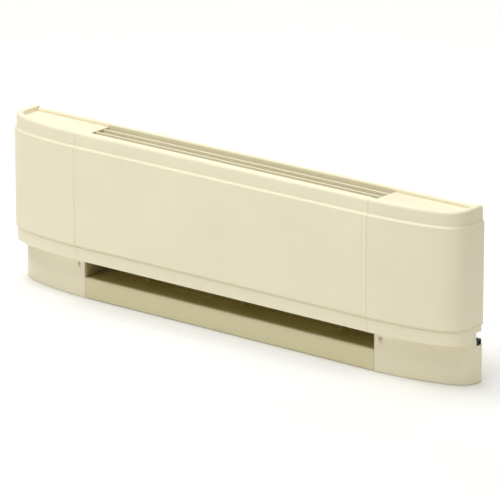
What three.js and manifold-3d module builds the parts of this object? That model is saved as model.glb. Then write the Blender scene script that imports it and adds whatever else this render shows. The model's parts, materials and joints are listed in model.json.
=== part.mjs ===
// Electric convector baseboard heater, 30 inch size, in millimetres with +Z up.
// Each piece is drawn with X along the heater from its middle, Y as the depth behind the flat of the
// front panel, and Z as the height above the floor. The last group centres the depth on Y = 0.
import * as THREE from 'three';
import { mergeVertices } from 'three/addons/utils/BufferGeometryUtils.js';
import Module from 'manifold-3d';

const wasm = await Module();
wasm.setup();

// Overall size
const LENGTH = 762;
const DEPTH = 73;
const HEIGHT = 238;
const GAP = 0.3;

// Front panel and end cap skins
const SEAM_X = 247;
const SHEET = 1.5;
const CAP_WALL = 2.5;
const LIP_BOTTOM_Z = 57.6;
const LIP_SETBACK = 2.3;
const GROOVE_Z = 77.8;
const SHOULDER_Z = 216;
const BAND_SETBACK = 2.6;
const BAND_TOP_Z = 232.6;
const RIM_BACK_Y = 12.8;
const HEM_BOTTOM_Z = 231;
const SHELF_Z = 231;
const EAR_INSET = 11.5;

// Plan curves of the end caps: superellipses from the seam to the wall
const BODY_PLAN = { x: SEAM_X, y: 0, endX: LENGTH / 2, across: 1.5, along: 6 };
const BASE_PLAN = { x: 246.3, y: 19.2, endX: 379.8, across: 1.3, along: 3.66 };
const BASE_CREASE = { bottomX: 356, topX: 377.3, bow: 1.45 };

// Cap screws: one at the foot of each cap, from the head's face back to the tip
const CAP_SCREW = { x: 256, y: 19.9, z: 46, headRadius: 3.7, head: 1.1, radius: 1.7, tip: 29 };

// Base pan and back panel
const PAN_HALF = 245.9;
const PAN_TOP_Z = 29.6;
const PAN_REAR_Z = 25.6;
const PAN_REAR_Y = 70.9;
const BACK_HALF = 369;
const BACK_RIM_Y = 68;
const BACK_TOP_Z = 235.65;
const BACK_HEM_Z = 216;
const KEYHOLE = { x: 320, z: 196, radius: 5, slotWidth: 5, slotHeight: 14 };
const CABLE_HOLE = { x: 318, z: 92, radius: 11 };

// Outlet grille
const TONGUE_X = 242.5;
const SLAT_HALF = 242;
const SLAT_DEPTHS = { front: 26, middle: 41.6, rear: 57.2 };
const SLAT_THICKNESS = 2;
const SLAT_BOTTOM_Z = 216.3;
const SLAT_TOP_Z = 230.5;

// Heating element
const TUBE = { y: 42, z: 122, radius: 4.5, half: 252 };
const FIN = { depth: 36, height: 60, thickness: 0.8, pitch: 8, half: 228, clear: 4 };
const LIMIT_Z = 165;
const LIMIT_RADIUS = 1.5;

// Inner sheet metal
const BRACKET_XS = { left: -165, center: 0, right: 165 };
const BRACKET_SHEET = 1.5;
const REFLECTOR_Y = 66;
const BULKHEAD_X = 244;
const BULKHEAD_SHEET = 1.2;
const BRACKET_SCREW_Z = 190;
const BRACKET_SCREW_SIDE = 7;
const CAP_SUPPORT_X = [346, 364];

// Wiring
const WIRE_RADIUS = 1.5;
const RACEWAY_Y = 69.3;
const RACEWAY_Z = 178;
const CONNECTORS = { neutral_connector: { x: 306, y: 54 }, line_connector: { x: 326, y: 36 } };
const GROUND = { x: 341, z: 98 };
const CLAMP_Z = [51, 59];
const NOTCH = { x: 366, y: 61.8, z: [50.6, 68.3] };

const FINISHES = {
  almond: [0xe6dfc3, 0.45, 0],
  almondPlastic: [0xe4ddc0, 0.5, 0],
  galvanised: [0x9da09f, 0.4, 0.9],
  aluminium: [0xb9bcbf, 0.35, 1],
  steel: [0x8a8c8e, 0.3, 1],
  copper: [0xb06a3c, 0.35, 1],
  ceramic: [0xe9e6dc, 0.6, 0],
  blackPlastic: [0x161616, 0.55, 0],
  blackWire: [0x1c1c1c, 0.5, 0],
  redWire: [0x9c1c1a, 0.5, 0],
  greenWire: [0x1f6b33, 0.5, 0],
  orangePlastic: [0xc9661e, 0.5, 0],
};

const heater = new THREE.Group();

function add(name, geometry, finish, parent = heater) {
  const [color, roughness, metalness] = FINISHES[finish];
  const mesh = new THREE.Mesh(geometry, new THREE.MeshStandardMaterial({ color, roughness, metalness }));
  mesh.name = name;
  parent.add(mesh);
}

// ---- Geometry helpers ----

function solid(geometry) {
  const bare = geometry.clone();
  bare.deleteAttribute('normal');
  bare.deleteAttribute('uv');
  const merged = mergeVertices(bare, 1e-4);
  const mesh = new wasm.Mesh({
    numProp: 3,
    vertProperties: new Float32Array(merged.attributes.position.array),
    triVerts: new Uint32Array(merged.index.array),
  });
  return new wasm.Manifold(mesh);
}

function geometryOf(manifold) {
  const { vertProperties, triVerts } = manifold.getMesh();
  const geometry = new THREE.BufferGeometry();
  geometry.setAttribute('position', new THREE.BufferAttribute(vertProperties, 3));
  geometry.setIndex(new THREE.BufferAttribute(triVerts, 1));
  return geometry;
}

function join(...geometries) {
  return geometryOf(geometries.map(solid).reduce((whole, piece) => whole.add(piece)));
}

function cut(geometry, ...tools) {
  return geometryOf(tools.map(solid).reduce((rest, tool) => rest.subtract(tool), solid(geometry)));
}

function block([x0, x1], [y0, y1], [z0, z1]) {
  const box = new THREE.BoxGeometry(x1 - x0, y1 - y0, z1 - z0);
  return box.translate((x0 + x1) / 2, (y0 + y1) / 2, (z0 + z1) / 2);
}

const AXIS_TURNS = {
  x: new THREE.Matrix4().makeRotationZ(-Math.PI / 2),
  y: new THREE.Matrix4(),
  z: new THREE.Matrix4().makeRotationX(Math.PI / 2),
};

function rod(axis, radius, from, to, centre, sides = 12) {
  const length = to - from;
  const cylinder = new THREE.CylinderGeometry(radius, radius, length, sides);
  cylinder.applyMatrix4(AXIS_TURNS[axis]);
  const place = { x: centre[0], y: centre[1], z: centre[2] };
  place[axis] = (from + to) / 2;
  return cylinder.translate(place.x, place.y, place.z);
}

// A round piece about an axis: profile points are [radius, position along the axis].
function turned(axis, profile, centre, sides = 16) {
  const points = profile.map(([radius, along]) => new THREE.Vector2(radius, along));
  const lathe = new THREE.LatheGeometry(points, sides);
  lathe.applyMatrix4(AXIS_TURNS[axis]);
  return lathe.translate(...centre);
}

// A plate or bar whose outline is in the Y-Z plane, running from x0 to x1.
function extrudeAlongX(outline, x0, x1, holes = []) {
  const shape = new THREE.Shape(outline.map(([y, z]) => new THREE.Vector2(y, z)));
  shape.holes = holes;
  const bar = new THREE.ExtrudeGeometry(shape, { depth: x1 - x0, bevelEnabled: false, curveSegments: 5 });
  const turn = new THREE.Matrix4().makeBasis(
    new THREE.Vector3(0, 1, 0),
    new THREE.Vector3(0, 0, 1),
    new THREE.Vector3(1, 0, 0),
  );
  return bar.applyMatrix4(turn).translate(x0, 0, 0);
}

function roundHole(y, z, radius) {
  const hole = new THREE.Path();
  hole.absarc(y, z, radius, 0, 2 * Math.PI, true);
  return hole;
}

// Folded sheet metal: the path is the outer skin, and the metal lies on its right.
function foldedSheet(path, thickness, x0, x1) {
  const points = path.map(([y, z]) => new THREE.Vector2(y, z));
  const rightOf = (from, to) => {
    const step = to.clone().sub(from).normalize();
    return new THREE.Vector2(step.y, -step.x);
  };
  const inner = points.map((point, i) => {
    const before = i > 0 ? rightOf(points[i - 1], point) : null;
    const after = i < points.length - 1 ? rightOf(point, points[i + 1]) : null;
    const side = (before ?? after).clone().add(after ?? before).normalize();
    const reach = thickness / side.dot(before ?? after);
    return point.clone().addScaledVector(side, reach);
  });
  const outline = [...points, ...inner.reverse()].map(({ x, y }) => [x, y]);
  return extrudeAlongX(outline, x0, x1);
}

// A solid through horizontal sections that all have the same number of points.
function loft(sections) {
  const count = sections[0].points.length;
  const positions = sections.flatMap(({ z, points }) => points.flatMap(([x, y]) => [x, y, z]));
  const index = [];
  for (let level = 0; level < sections.length - 1; level += 1) {
    for (let i = 0; i < count; i += 1) {
      const a = level * count + i;
      const b = level * count + ((i + 1) % count);
      index.push(a, b, b + count, a, b + count, a + count);
    }
  }
  const lids = [sections[0], sections[sections.length - 1]].map(({ points }) => (
    THREE.ShapeUtils.triangulateShape(points.map(([x, y]) => new THREE.Vector2(x, y)), [])
  ));
  const top = (sections.length - 1) * count;
  for (const [a, b, c] of lids[0]) {
    index.push(c, b, a);
  }
  for (const [a, b, c] of lids[1]) {
    index.push(top + a, top + b, top + c);
  }
  const geometry = new THREE.BufferGeometry();
  geometry.setAttribute('position', new THREE.Float32BufferAttribute(positions, 3));
  geometry.setIndex(index);
  return geometry;
}

function wire(points, radius = WIRE_RADIUS, steps = 48) {
  const curve = new THREE.CatmullRomCurve3(points.map((point) => new THREE.Vector3(...point)));
  const section = new THREE.Shape();
  section.absarc(0, 0, radius, 0, 2 * Math.PI);
  return new THREE.ExtrudeGeometry(section, { steps, curveSegments: 4, extrudePath: curve });
}

function mirrorX(geometry) {
  const mirrored = geometryOf(solid(geometry)).scale(-1, 1, 1);
  const { array } = mirrored.index;
  for (let i = 0; i < array.length; i += 3) {
    [array[i], array[i + 1]] = [array[i + 1], array[i]];
  }
  return mirrored;
}

// ---- End caps: one moulded shell each ----

const PLAN_STEPS = 14;

// The plan curve from the seam to the wall, as [x, y] points.
function planCurve({ x, y, endX, across, along }, fromT = Math.PI / 2, steps = PLAN_STEPS) {
  return Array.from({ length: steps + 1 }, (_, i) => {
    const t = fromT * (1 - i / steps);
    const reachX = Math.cos(t) ** (2 / across);
    const reachY = Math.sin(t) ** (2 / along);
    return [x + (endX - x) * reachX, DEPTH - (DEPTH - y) * reachY];
  });
}

function insetCurve(curve, inset) {
  return curve.map(([x, y], i) => {
    const [xa, ya] = curve[Math.max(i - 1, 0)];
    const [xb, yb] = curve[Math.min(i + 1, curve.length - 1)];
    const span = Math.hypot(xb - xa, yb - ya);
    if (i === 0) {
      return [x, y + inset];
    }
    if (i === curve.length - 1) {
      return [x - inset, y];
    }
    return [x - inset * (yb - ya) / span, y + inset * (xb - xa) / span];
  });
}

// Closes a curve into a section that runs in to seamX and back to wallY.
function section(z, curve, seamX, wallY) {
  const [, startY] = curve[0];
  const [endX] = curve[curve.length - 1];
  return { z, points: [[seamX, startY], ...curve.slice(1), [endX, wallY], [seamX, wallY]] };
}

const bodyCurve = planCurve(BODY_PLAN);

const baseFront = planCurve(BASE_PLAN).filter(([x]) => x < BASE_CREASE.bottomX - 4);

// The base's plan at a share of its height. Behind the crease it stays on the plan curve. In front
// it leans back as it rises, and the crease moves towards the end.
function baseCurve(share) {
  const { x: startX, y: startY, endX, across } = BASE_PLAN;
  const { bottomX, topX, bow } = BASE_CREASE;
  const behindCrease = (creaseX) => {
    const reach = (creaseX - startX) / (endX - startX);
    return planCurve(BASE_PLAN, Math.acos(reach ** (across / 2)), 8);
  };
  const creaseX = bottomX + share * (topX - bottomX);
  const behind = behindCrease(creaseX);
  const [, creaseY] = behind[0];
  const [, bottomY] = behindCrease(bottomX)[0];
  const front = baseFront.map(([x, y]) => {
    const along = (x - startX) / (bottomX - startX);
    const round = (y - startY) / (bottomY - startY);
    const back = round + share * (along ** bow - round);
    return [startX + along * (creaseX - startX), startY + back * (creaseY - startY)];
  });
  return [...front, ...behind];
}

function bodyLoft(levels, seamX, wallY) {
  return loft(levels.map(([z, inset]) => section(z, insetCurve(bodyCurve, inset), seamX, wallY)));
}

function endCap() {
  const seam = SEAM_X + GAP / 2;
  const outerBody = bodyLoft([
    [LIP_BOTTOM_Z, LIP_SETBACK + 1],
    [LIP_BOTTOM_Z + 1, LIP_SETBACK],
    [GROOVE_Z - 1.4, LIP_SETBACK],
    [GROOVE_Z + 0.8, 0],
    [SHOULDER_Z, 0],
    [SHOULDER_Z + BAND_SETBACK, BAND_SETBACK],
    [BAND_TOP_Z, BAND_SETBACK],
    [BAND_TOP_Z + 2.4, BAND_SETBACK + 0.6],
    [BAND_TOP_Z + 4.2, BAND_SETBACK + 2.2],
    [HEIGHT - 0.2, BAND_SETBACK + 4.8],
    [HEIGHT, BAND_SETBACK + 7],
  ], seam, DEPTH);
  const shelfRecess = bodyLoft([
    [SHELF_Z, EAR_INSET + 0.8],
    [HEIGHT + 1, EAR_INSET - 0.4],
  ], seam - 1, DEPTH + 1);
  const baseTop = LIP_BOTTOM_Z + CAP_WALL;
  const baseShares = [0, 0.33, 0.67, 1];
  const outerBase = loft(baseShares.map((share) => (
    section(share * baseTop, baseCurve(share), BASE_PLAN.x, DEPTH)
  )));
  const bodyHollow = bodyLoft([
    [baseTop, LIP_SETBACK + CAP_WALL],
    [GROOVE_Z + 2, LIP_SETBACK + CAP_WALL],
    [GROOVE_Z + 4, CAP_WALL],
    [SHOULDER_Z - CAP_WALL, CAP_WALL],
    [SHOULDER_Z, BAND_SETBACK + CAP_WALL],
    [SHELF_Z - CAP_WALL, BAND_SETBACK + CAP_WALL],
  ], seam - 10, DEPTH + 5);
  const baseHollow = loft(baseShares.map((share) => section(
    share * (baseTop + 2) - 1,
    insetCurve(baseCurve(share), CAP_WALL),
    BASE_PLAN.x - 10,
    DEPTH + 5,
  )));
  const tongue = block(
    [TONGUE_X, SEAM_X + 2],
    [RIM_BACK_Y + GAP, BACK_RIM_Y - GAP],
    [SHELF_Z - CAP_WALL, SHELF_Z],
  );
  const rearRimRoom = block([230, BACK_HALF + 0.5], [BACK_RIM_Y - GAP, DEPTH + 5], [SHELF_Z - 4, HEIGHT + 5]);
  const cableNotch = block([NOTCH.x, LENGTH], [NOTCH.y, DEPTH + 5], NOTCH.z);
  const { x, z } = CAP_SCREW;
  const screwSeat = rod('y', CAP_SCREW.headRadius + 0.3, 10, CAP_SCREW.y + CAP_SCREW.head + GAP, [x, 0, z]);
  const screwHole = rod('y', CAP_SCREW.radius + 0.3, 10, 30, [x, 0, z]);
  const shell = cut(join(outerBody, outerBase), shelfRecess, bodyHollow, baseHollow, rearRimRoom);
  return cut(join(shell, tongue), cableNotch, screwSeat, screwHole);
}

function capScrew() {
  const { x, y, z } = CAP_SCREW;
  return join(
    rod('y', CAP_SCREW.headRadius, y, y + CAP_SCREW.head, [x, 0, z]),
    rod('y', CAP_SCREW.radius, y + 0.5, CAP_SCREW.tip, [x, 0, z]),
  );
}

const cap = endCap();
const screw = capScrew();
add('right_end_cap', cap, 'almondPlastic');
add('left_end_cap', mirrorX(cap), 'almondPlastic');
add('right_cap_screw', screw, 'almond');
add('left_cap_screw', mirrorX(screw), 'almond');

// ---- Front panel: hooks over the bracket ears at its top hem ----

const panelHalf = SEAM_X - GAP / 2;
const panelPath = [
  [9, LIP_BOTTOM_Z],
  [LIP_SETBACK + 1, LIP_BOTTOM_Z],
  [LIP_SETBACK, LIP_BOTTOM_Z + 1],
  [LIP_SETBACK, GROOVE_Z - 1.4],
  [0, GROOVE_Z + 0.8],
  [0, SHOULDER_Z],
  [BAND_SETBACK, SHOULDER_Z + BAND_SETBACK],
  [BAND_SETBACK, BAND_TOP_Z],
  [BAND_SETBACK + 0.6, BAND_TOP_Z + 2.4],
  [BAND_SETBACK + 2.2, BAND_TOP_Z + 4.2],
  [BAND_SETBACK + 4.8, HEIGHT - 0.2],
  [BAND_SETBACK + 7, HEIGHT],
  [RIM_BACK_Y - 1, HEIGHT],
  [RIM_BACK_Y, HEIGHT - 1],
  [RIM_BACK_Y, HEM_BOTTOM_Z],
];
add('front_panel', foldedSheet(panelPath, SHEET, -panelHalf, panelHalf), 'almond');

const stiffenerY = SHEET + GAP;
const stiffenerPath = [
  [stiffenerY + 1, 132],
  [stiffenerY + 1, 140],
  [stiffenerY + 6, 143],
  [stiffenerY + 6, 157],
  [stiffenerY + 1, 160],
  [stiffenerY + 1, 168],
];
add('panel_stiffener', foldedSheet(stiffenerPath.reverse(), 1, -205, 205), 'almond');

// ---- Back panel and base pan ----

function keyhole(x) {
  const { z, radius, slotWidth, slotHeight } = KEYHOLE;
  return [
    rod('y', radius, DEPTH - 3, DEPTH + 1, [x, 0, z]),
    block([x - slotWidth / 2, x + slotWidth / 2], [DEPTH - 3, DEPTH + 1], [z, z + slotHeight]),
  ];
}

const backPath = [
  [BACK_RIM_Y, BACK_HEM_Z],
  [BACK_RIM_Y, BACK_TOP_Z - 1],
  [BACK_RIM_Y + 1, BACK_TOP_Z],
  [DEPTH, BACK_TOP_Z],
  [DEPTH, 0],
];
const backSheet = foldedSheet(backPath, SHEET, -BACK_HALF, BACK_HALF);
const backHoles = [-KEYHOLE.x, KEYHOLE.x].flatMap(keyhole);
const cableHoles = [-CABLE_HOLE.x, CABLE_HOLE.x].map((x) => (
  rod('y', CABLE_HOLE.radius, DEPTH - 3, DEPTH + 1, [x, 0, CABLE_HOLE.z], 20)
));
add('back_panel', cut(backSheet, ...backHoles, ...cableHoles), 'almond');

const panPath = [
  [31, 0],
  [BASE_PLAN.y, 0],
  [BASE_PLAN.y, PAN_TOP_Z - 1],
  [BASE_PLAN.y + 1, PAN_TOP_Z],
  [PAN_REAR_Y, PAN_REAR_Z],
  [PAN_REAR_Y, 8],
];
add('base_pan', foldedSheet(panPath, 1.2, -PAN_HALF, PAN_HALF), 'almond');

// ---- Outlet grille ----

for (const [place, y] of Object.entries(SLAT_DEPTHS)) {
  const half = SLAT_THICKNESS / 2;
  const outline = [
    [y - half, SLAT_BOTTOM_Z],
    [y + half, SLAT_BOTTOM_Z],
    [y + half, SLAT_TOP_Z - 0.5],
    [y + half - 0.5, SLAT_TOP_Z],
    [y - half + 0.5, SLAT_TOP_Z],
    [y - half, SLAT_TOP_Z - 0.5],
  ];
  add(`${place}_grille_slat`, extrudeAlongX(outline, -SLAT_HALF, SLAT_HALF), 'almond');
}

// ---- Support brackets: carry the slats, the element and the top hem of the front panel ----

const SPINE_BACK_Y = 65.7;
const bracketOutline = [
  [52, 28],
  [SPINE_BACK_Y, 28],
  [SPINE_BACK_Y, 216],
  [15, 216],
  [15, HEM_BOTTOM_Z - 0.4],
  [10.8, HEM_BOTTOM_Z - 0.4],
  [10.8, 233],
  [7.4, 233],
  [5.8, 228],
  [5.8, 204],
  [56, 204],
  [56, 134],
  [34, 134],
  [34, 110],
  [56, 110],
  [56, 76],
  [14, 76],
  [14, 63],
  [52, 63],
];
const FLANGE = [12, 1.2];
for (const [place, x] of Object.entries(BRACKET_XS)) {
  const tubeHole = roundHole(TUBE.y, TUBE.z, TUBE.radius + 0.5);
  const plate = extrudeAlongX(bracketOutline, x, x + BRACKET_SHEET, [tubeHole]);
  const flange = block([x, x + FLANGE[0]], [SPINE_BACK_Y - FLANGE[1], SPINE_BACK_Y], [66, 216]);
  const hole = rod('y', 2.2, 60, 70, [x + BRACKET_SCREW_SIDE, 0, BRACKET_SCREW_Z], 8);
  add(`${place}_support_bracket`, cut(join(plate, flange), hole), 'almond');
  const head = rod('y', 3.6, 62.4, 64.2, [x + BRACKET_SCREW_SIDE, 0, BRACKET_SCREW_Z]);
  const shank = rod('y', 1.6, 63, 71.2, [x + BRACKET_SCREW_SIDE, 0, BRACKET_SCREW_Z], 8);
  add(`${place}_bracket_screw`, join(head, shank), 'steel');
}

for (const [place, x] of [['left', BRACKET_XS.left], ['right', BRACKET_XS.right]]) {
  const clipPath = [
    [4.6, 60.4],
    [6, 62],
    [7, 66],
    [7, 74],
    [13.6, 74],
  ];
  add(`${place}_panel_clip`, foldedSheet(clipPath, 0.8, x - 5, x + 6), 'steel');
}

// ---- Bulkheads between the heating chamber and the wiring ends ----

function bulkhead() {
  const outline = [
    [10.5, 60.4],
    [21.4, 60.4],
    [21.4, 30.2],
    [71.2, 30.2],
    [71.2, RACEWAY_Z - 3],
    [67.2, RACEWAY_Z - 3],
    [67.2, RACEWAY_Z + 3],
    [71.2, RACEWAY_Z + 3],
    [71.2, BACK_HEM_Z - 2],
    [BACK_RIM_Y - 0.6, BACK_HEM_Z - 2],
    [BACK_RIM_Y - 0.6, 228.2],
    [10.5, 228.2],
  ];
  const holes = [
    roundHole(TUBE.y, TUBE.z, 7.5),
    roundHole(TUBE.y, LIMIT_Z, 2.2),
  ];
  const outer = BULKHEAD_X + BULKHEAD_SHEET;
  const plate = extrudeAlongX(outline, BULKHEAD_X, outer, holes);
  const wallFlange = block([BULKHEAD_X, outer + 11], [70, 71.2], [34, 170]);
  const screwTab = block([BULKHEAD_X, 263], [24, 25.2], [CAP_SCREW.z - 8, CAP_SCREW.z + 8]);
  const tabSlot = block([253.8, 264], [23, 26], [CAP_SCREW.z - 2.3, CAP_SCREW.z + 2.3]);
  return cut(join(plate, wallFlange, screwTab), tabSlot);
}

const rightBulkhead = bulkhead();
add('right_bulkhead', rightBulkhead, 'almond');
add('left_bulkhead', mirrorX(rightBulkhead), 'almond');

// ---- Heat reflector ----

const reflector = block([-243, 243], [REFLECTOR_Y, REFLECTOR_Y + 1], [62, 208]);
const reflectorHoles = Object.values(BRACKET_XS).map((x) => (
  rod('y', 2.2, 60, 70, [x + BRACKET_SCREW_SIDE, 0, BRACKET_SCREW_Z], 8)
));
add('heat_reflector', cut(reflector, ...reflectorHoles), 'aluminium');

// ---- Heating element, its bushings and terminals ----

add('element_tube', rod('x', TUBE.radius, -TUBE.half, TUBE.half, [0, TUBE.y, TUBE.z], 12), 'steel');

// Each bank of fins is one row between two brackets, spaced by the collars that grip the tube.
function finBank(from, to) {
  const count = Math.round((to - from - FIN.thickness) / FIN.pitch);
  const pitch = (to - from - FIN.thickness) / count;
  const fins = Array.from({ length: count + 1 }, (_, i) => block(
    [from + i * pitch, from + i * pitch + FIN.thickness],
    [TUBE.y - FIN.depth / 2, TUBE.y + FIN.depth / 2],
    [TUBE.z - FIN.height / 2, TUBE.z + FIN.height / 2],
  ));
  const collar = rod('x', TUBE.radius + 1.5, from, to, [0, TUBE.y, TUBE.z], 8);
  const bore = rod('x', TUBE.radius + 0.4, from - 5, to + 5, [0, TUBE.y, TUBE.z], 12);
  return cut(join(collar, ...fins), bore);
}

const finStops = [-FIN.half, ...Object.values(BRACKET_XS), FIN.half];
for (let bank = 1; bank < finStops.length; bank += 1) {
  const from = finStops[bank - 1] + (bank === 1 ? 0 : BRACKET_SHEET + FIN.clear);
  const to = finStops[bank] - (bank === finStops.length - 1 ? 0 : FIN.clear);
  add(`fin_bank_${bank}`, finBank(from, to), 'aluminium');
}

const bushingProfile = [
  [5, 242],
  [6.8, 242],
  [6.8, 245.6],
  [9.5, 245.6],
  [9.5, 248],
  [5, 248],
  [5, 242],
];
const insulatorProfile = [
  [0, TUBE.half + GAP],
  [7, TUBE.half + GAP],
  [7, 255],
  [5, 255.5],
  [4.4, 262],
  [0, 262],
];
const studProfile = [
  [0, 262 + GAP],
  [2.2, 262 + GAP],
  [2.2, 266],
  [4.2, 266],
  [4.2, 269],
  [2.2, 269],
  [2.2, 275],
  [0, 275],
];
for (const [part, profile, finish] of [
  ['element_bushing', bushingProfile, 'ceramic'],
  ['terminal_insulator', insulatorProfile, 'ceramic'],
  ['terminal_stud', studProfile, 'steel'],
]) {
  const piece = turned('x', profile, [0, TUBE.y, TUBE.z]);
  add(`right_${part}`, piece, finish);
  add(`left_${part}`, mirrorX(piece), finish);
}

// ---- High limit control: a switch in the right end and a sensing capillary over the fins ----

const SWITCH_X = [BULKHEAD_X + BULKHEAD_SHEET + 0.4, 268];
const switchBody = block(SWITCH_X, [30, 54], [158, 188]);
const switchTabs = [36, 48].map((y) => block([254, 260], [y - 0.5, y + 0.5], [186, 197]));
add('high_limit_switch', join(switchBody, ...switchTabs), 'blackPlastic');

const capillaryEnd = SWITCH_X[0] - GAP;
add(
  'limit_capillary',
  rod('x', LIMIT_RADIUS, -232, capillaryEnd, [0, TUBE.y, LIMIT_Z], 8),
  'copper',
);
for (const [place, x] of [['left', -110], ['center', 55], ['right', 215]]) {
  const foot = block([x - 3, x + 3], [TUBE.y - 4, TUBE.y + 4], [TUBE.z + FIN.height / 2 + GAP, LIMIT_Z + 4]);
  const grip = rod('x', LIMIT_RADIUS + 0.3, x - 5, x + 5, [0, TUBE.y, LIMIT_Z], 8);
  add(`${place}_capillary_clip`, cut(foot, grip), 'steel');
}

// ---- Wiring in the ends ----

const leads = {
  return_lead: ['blackWire', [
    [-275.6, TUBE.y, TUBE.z],
    [-283, 42, 122.5],
    [-292, 50, 140],
    [-288, 62, 166],
    [-270, RACEWAY_Y, RACEWAY_Z],
    [-240, RACEWAY_Y, RACEWAY_Z],
    [0, RACEWAY_Y, RACEWAY_Z],
    [240, RACEWAY_Y, RACEWAY_Z],
    [270, RACEWAY_Y, RACEWAY_Z],
    [296, 62, 170],
    [CONNECTORS.neutral_connector.x, CONNECTORS.neutral_connector.y, 150],
    [CONNECTORS.neutral_connector.x, CONNECTORS.neutral_connector.y, 132.3],
  ]],
  element_lead: ['redWire', [
    [275.6, TUBE.y, TUBE.z],
    [282, 42, 123],
    [287, 42, 132],
    [280, 42, 142],
    [266, 42, 146],
    [259, 42, 151],
    [258, 42, 157.4],
  ]],
  limit_lead: ['redWire', [
    [257, 48, 197.6],
    [258, 48, 204],
    [270, 46, 212],
    [300, 42, 206],
    [322, 38, 176],
    [CONNECTORS.line_connector.x, CONNECTORS.line_connector.y, 150],
    [CONNECTORS.line_connector.x, CONNECTORS.line_connector.y, 132.3],
  ]],
  ground_lead: ['greenWire', [
    [341, 67.4, 104],
    [344, 64, 116],
    [346, 58, 134],
    [345, 54, 150],
    [342, 52, 160],
    [341, 52, 170],
  ]],
};
for (const [name, [finish, points]] of Object.entries(leads)) {
  add(name, wire(points, WIRE_RADIUS, name === 'return_lead' ? 70 : 28), finish);
}

// Twist-on connectors hang from the two supply pigtails.
const connectorProfile = [
  [0, 112],
  [3.4, 112],
  [4.6, 116],
  [6, 130],
  [6, 132],
  [0, 132],
];
for (const [name, { x, y }] of Object.entries(CONNECTORS)) {
  add(name, turned('z', connectorProfile, [x, y, 0], 12), 'orangePlastic');
}

add('ground_screw', rod('y', 4, 69, 71.2, [GROUND.x, 0, GROUND.z], 6), 'steel');

// ---- Supply cable clamp in the right end's rear notch ----

const clampBody = block([357, 380.4], [62.5, 70.6], CLAMP_Z);
const clampBore = rod('x', 2.4, 350, 390, [0, 66.6, (CLAMP_Z[0] + CLAMP_Z[1]) / 2], 10);
const clampFoot = block([350, 358], [69, 70.6], CLAMP_Z);
add('supply_cable_clamp', cut(join(clampBody, clampFoot), clampBore), 'blackPlastic');
add('cable_clamp_screw', rod('y', 3, 67, 68.7, [353.5, 0, 55], 8), 'steel');

// ---- Cap supports on the back panel ----

function capSupport() {
  const path = [
    [71.2, 214],
    [71.2, 190],
    [40, 190],
    [40, 184],
  ];
  return foldedSheet(path, 1.2, ...CAP_SUPPORT_X);
}

const support = capSupport();
add('right_cap_support', support, 'galvanised');
add('left_cap_support', mirrorX(support), 'galvanised');

const placed = new THREE.Group();
placed.position.y = -DEPTH / 2;
placed.add(heater);

export default placed;
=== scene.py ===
"""Looks of the convector baseboard heater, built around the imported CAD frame.

Lengths here are millimetres. Depth is measured back from the flat of the front panel, and place()
turns (x, depth, z) into the frame's metres.
"""
import json
import math

import bmesh
import bpy
import numpy as np
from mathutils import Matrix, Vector


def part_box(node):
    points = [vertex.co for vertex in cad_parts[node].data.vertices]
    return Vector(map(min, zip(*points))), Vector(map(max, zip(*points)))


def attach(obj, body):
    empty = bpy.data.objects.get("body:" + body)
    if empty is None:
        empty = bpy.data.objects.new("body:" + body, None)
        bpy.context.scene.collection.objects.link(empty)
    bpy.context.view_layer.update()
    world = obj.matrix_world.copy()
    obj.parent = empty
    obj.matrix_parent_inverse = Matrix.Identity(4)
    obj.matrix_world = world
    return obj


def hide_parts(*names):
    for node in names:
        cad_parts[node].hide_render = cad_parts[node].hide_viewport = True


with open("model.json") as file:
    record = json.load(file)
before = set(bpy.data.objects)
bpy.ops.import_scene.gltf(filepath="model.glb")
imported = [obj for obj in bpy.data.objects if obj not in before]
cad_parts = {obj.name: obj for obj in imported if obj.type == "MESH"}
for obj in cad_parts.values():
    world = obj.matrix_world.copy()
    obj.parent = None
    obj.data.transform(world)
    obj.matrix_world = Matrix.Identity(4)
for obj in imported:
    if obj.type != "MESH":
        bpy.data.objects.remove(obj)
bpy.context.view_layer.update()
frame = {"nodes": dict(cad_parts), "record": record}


# ---- Sizes read from the frame ----

def box_mm(node):
    """A CAD node's corners as (x, depth, z) in millimetres."""
    low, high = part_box(node)
    shift = np.array([0, -FRONT_Y, 0])
    return np.array(low) * 1000 + shift, np.array(high) * 1000 + shift


FRONT_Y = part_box("front_panel")[0][1] * 1000
PANEL_LOW, PANEL_HIGH = box_mm("front_panel")
CAP_LOW, CAP_HIGH = box_mm("right_end_cap")
PAN_LOW, PAN_HIGH = box_mm("base_pan")
BACK_LOW, BACK_HIGH = box_mm("back_panel")

DEPTH = CAP_HIGH[1]
HEIGHT = PANEL_HIGH[2]
HALF_LENGTH = CAP_HIGH[0]
LIP_BOTTOM = PANEL_LOW[2]
PANEL_HALF = PANEL_HIGH[0]
TONGUE_X = CAP_LOW[0]

# ---- Sizes of the skins that the frame's boxes don't give ----

SEAM_X = 247.15
SHEET = 1.5
CAP_WALL = 2.5
LIP_SETBACK = 2.3
GROOVE_Z = 77.8
SHOULDER_Z = 216
BAND_SETBACK = 2.6
RIM_BACK = 12.8
SHELF_Z = 231
EAR_INSET = 11.8
BACK_HEM_Z = 216
KEYHOLE_X = 320
KEYHOLE_Z = 196
KEYHOLE_RADIUS = 5
KEYHOLE_SLOT = (5, 14)
CABLE_HOLE_X = 318
CABLE_HOLE_Z = 92
CABLE_HOLE_RADIUS = 11
NOTCH_X = 366
BASE_SEAM_X = 246.3
BASE_FRONT = 19.2
BASE_END_X = 379.8
CREASE_BOTTOM_X = 356
CREASE_TOP_X = 377.3
CREASE_BOW = 1.45


def place(x, depth, z):
    return (x / 1000, (depth + FRONT_Y) / 1000, z / 1000)


# ---- Curves ----

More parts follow.
